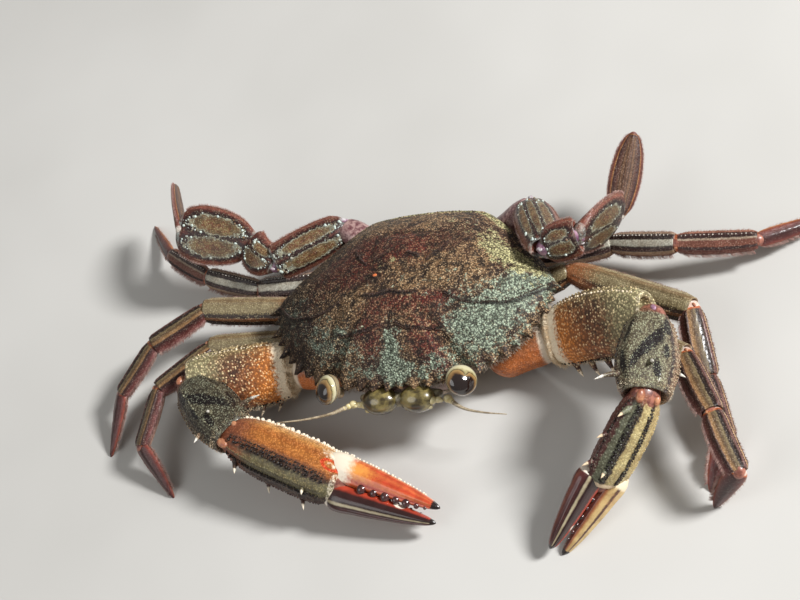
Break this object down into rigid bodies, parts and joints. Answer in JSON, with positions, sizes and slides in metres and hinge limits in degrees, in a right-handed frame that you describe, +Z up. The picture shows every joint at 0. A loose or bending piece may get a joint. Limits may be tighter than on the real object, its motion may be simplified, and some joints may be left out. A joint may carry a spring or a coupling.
{
  "type": "red swimming crab, still life-size model",
  "caption": "Life-size still model of a red swimming crab that crouches on the floor, claws folded in front and paddle legs raised behind.",
  "frame": {"origin": "on the floor under the middle of the shell, on the flat of the folded tail flap that the belly rests on", "axes": "+X to the crab's left, -Y to its front, +Z up"},
  "size_m": [0.1811, 0.0979, 0.0283],
  "materials": {
    "shell": "grainy, thinly haired red-brown and olive shell",
    "underside": "smooth pale belly shell",
    "claw": "olive and orange shell with beads and dark blotches",
    "finger": "glossy dark maroon finger shell",
    "leg": "maroon and cream striped shell with a hair fringe",
    "swim_leg": "maroon plates with cream ovals and a hair fringe",
    "eye": "wet, glassy olive eye",
    "feeler": "thin amber feeler"
  },
  "bodies": {
    "root": {"carapace": "shell", "thorax": "underside", "abdomen": "underside", "maxilliped_left": "underside", "maxilliped_right": "underside", "face_plate": "underside", "eye_left": "eye", "eye_right": "eye", "antenna_left": "feeler", "antenna_right": "feeler", "claw_left_ischium": "claw", "claw_left_merus": "claw", "claw_left_carpus": "claw", "claw_left_propodus": "claw", "claw_left_dactylus": "finger", "claw_right_ischium": "claw", "claw_right_merus": "claw", "claw_right_carpus": "claw", "claw_right_propodus": "claw", "claw_right_dactylus": "finger", "leg_2_left_ischium": "leg", "leg_2_left_merus": "leg", "leg_2_left_carpus": "leg", "leg_2_left_propodus": "leg", "leg_2_left_dactylus": "leg", "leg_3_left_ischium": "leg", "leg_3_left_merus": "leg", "leg_3_left_carpus": "leg", "leg_3_left_propodus": "leg", "leg_3_left_dactylus": "leg", "leg_4_left_ischium": "leg", "leg_4_left_merus": "leg", "leg_4_left_carpus": "leg", "leg_4_left_propodus": "leg", "leg_4_left_dactylus": "leg", "leg_2_right_ischium": "leg", "leg_2_right_merus": "leg", "leg_2_right_carpus": "leg", "leg_2_right_propodus": "leg", "leg_2_right_dactylus": "leg", "leg_3_right_ischium": "leg", "leg_3_right_merus": "leg", "leg_3_right_carpus": "leg", "leg_3_right_propodus": "leg", "leg_3_right_dactylus": "leg", "leg_4_right_ischium": "leg", "leg_4_right_merus": "leg", "leg_4_right_carpus": "leg", "leg_4_right_propodus": "leg", "leg_4_right_dactylus": "leg", "swim_leg_left_ischium": "swim_leg", "swim_leg_left_merus": "swim_leg", "swim_leg_left_carpus": "swim_leg", "swim_leg_left_propodus": "swim_leg", "swim_leg_left_dactylus": "swim_leg", "swim_leg_right_ischium": "swim_leg", "swim_leg_right_merus": "swim_leg", "swim_leg_right_carpus": "swim_leg", "swim_leg_right_propodus": "swim_leg", "swim_leg_right_dactylus": "swim_leg"}
  },
  "joints": []
}
